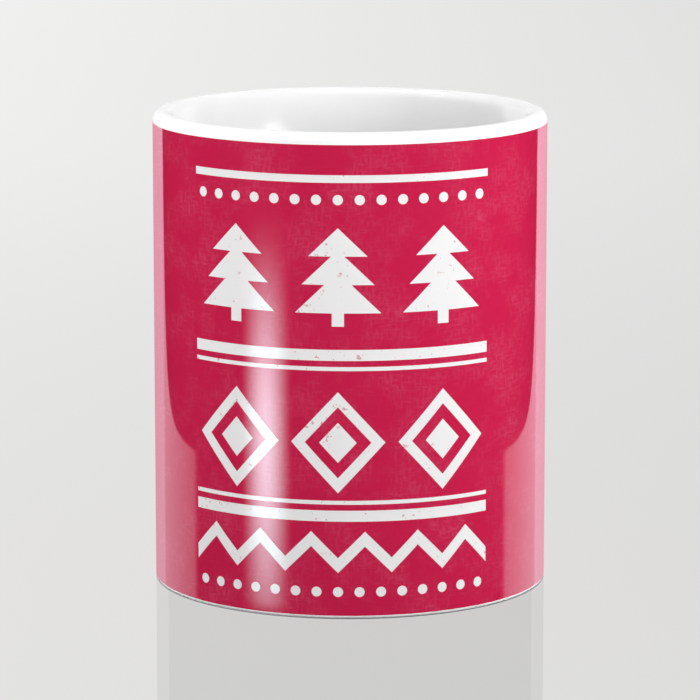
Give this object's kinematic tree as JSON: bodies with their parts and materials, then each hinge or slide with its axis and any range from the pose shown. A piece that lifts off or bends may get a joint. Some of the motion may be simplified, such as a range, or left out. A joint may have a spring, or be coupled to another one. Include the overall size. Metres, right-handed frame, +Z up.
{
  "type": "printed ceramic mug",
  "caption": "Straight-sided glazed ceramic mug with a loop handle and a crimson and white printed wrap, open and empty, for hot drinks.",
  "frame": {"origin": "on the standing plane, under the middle of the whole mug with its handle", "axes": "+Z up along the body's axis, +Y towards the handle, -Y out of the middle of the print, +X to the right of the print as it is looked at"},
  "size_m": [0.08, 0.1152, 0.0965],
  "materials": {
    "white_glaze": "high gloss glaze over white stoneware, with a crimson printed wrap on the outer wall and a bare foot ring"
  },
  "bodies": {
    "root": {"mug": "white_glaze"}
  },
  "joints": []
}
